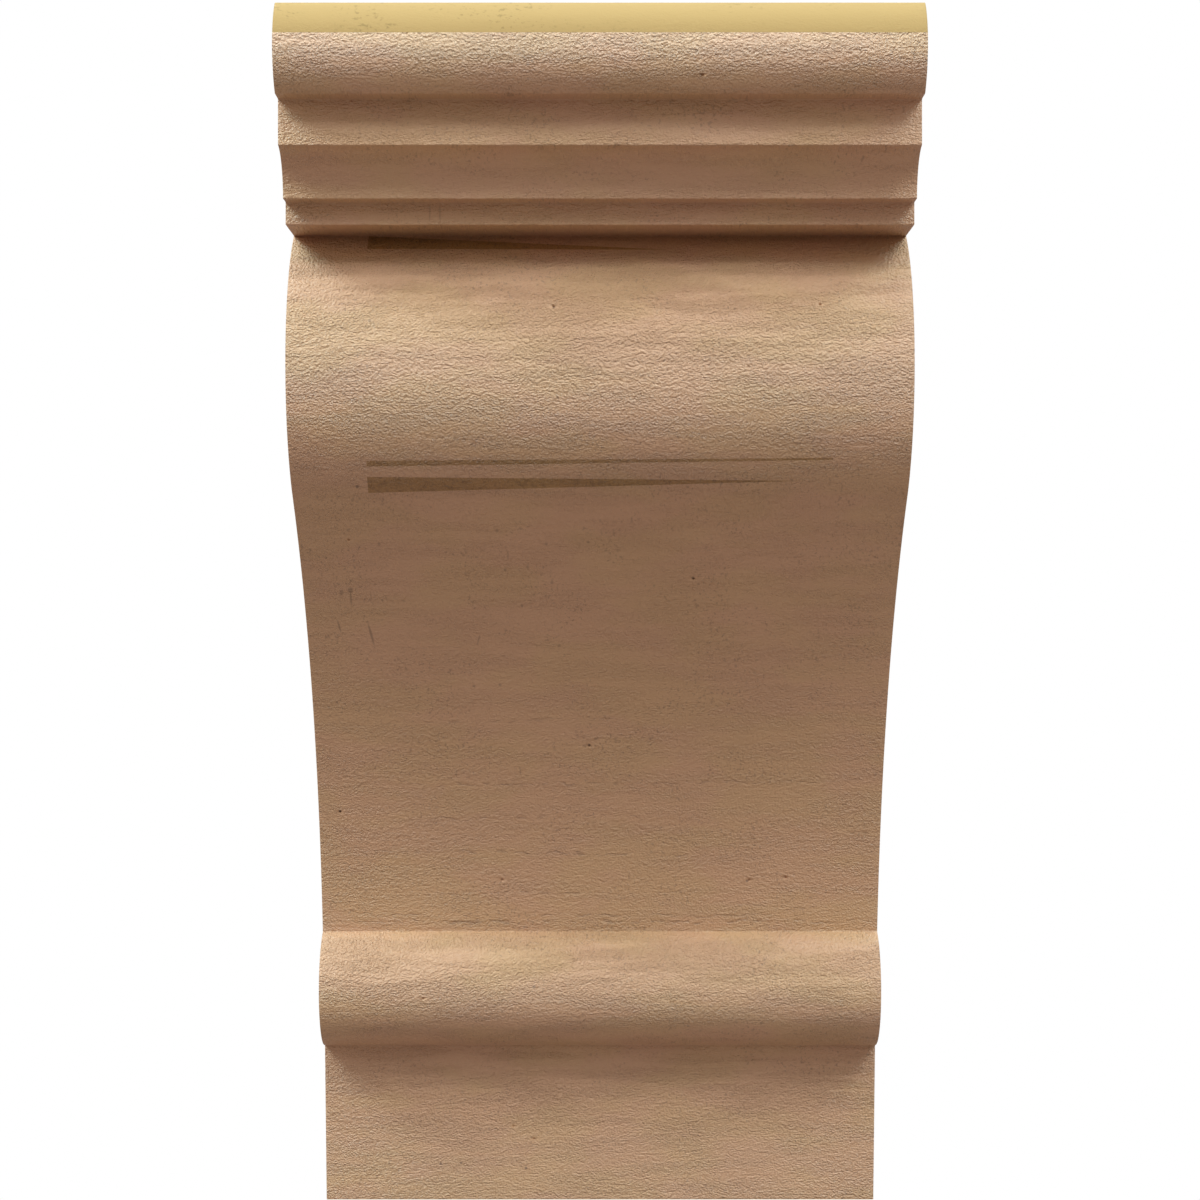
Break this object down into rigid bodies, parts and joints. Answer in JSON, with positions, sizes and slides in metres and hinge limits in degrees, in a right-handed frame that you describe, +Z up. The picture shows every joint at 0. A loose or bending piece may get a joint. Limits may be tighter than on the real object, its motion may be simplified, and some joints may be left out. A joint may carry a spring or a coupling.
{
  "type": "corbel",
  "caption": "Moulded wall corbel with a bulging crown, stepped bed mouldings, a scroll that sweeps down to a roll and a plain base block, in rough-sawn faux wood.",
  "frame": {"origin": "centre of the flat back, on the wall plane, midway between the sides and midway up", "axes": "+Z up, +Y into the wall, so that the moulded front faces -Y; X runs across the width"},
  "size_m": [0.1524, 0.1524, 0.3048],
  "materials": {
    "primed_urethane": "tan primer with a soft sheen over moulded rough-sawn grain, bare golden urethane on the back and top"
  },
  "bodies": {
    "root": {"corbel": "primed_urethane"}
  },
  "joints": []
}
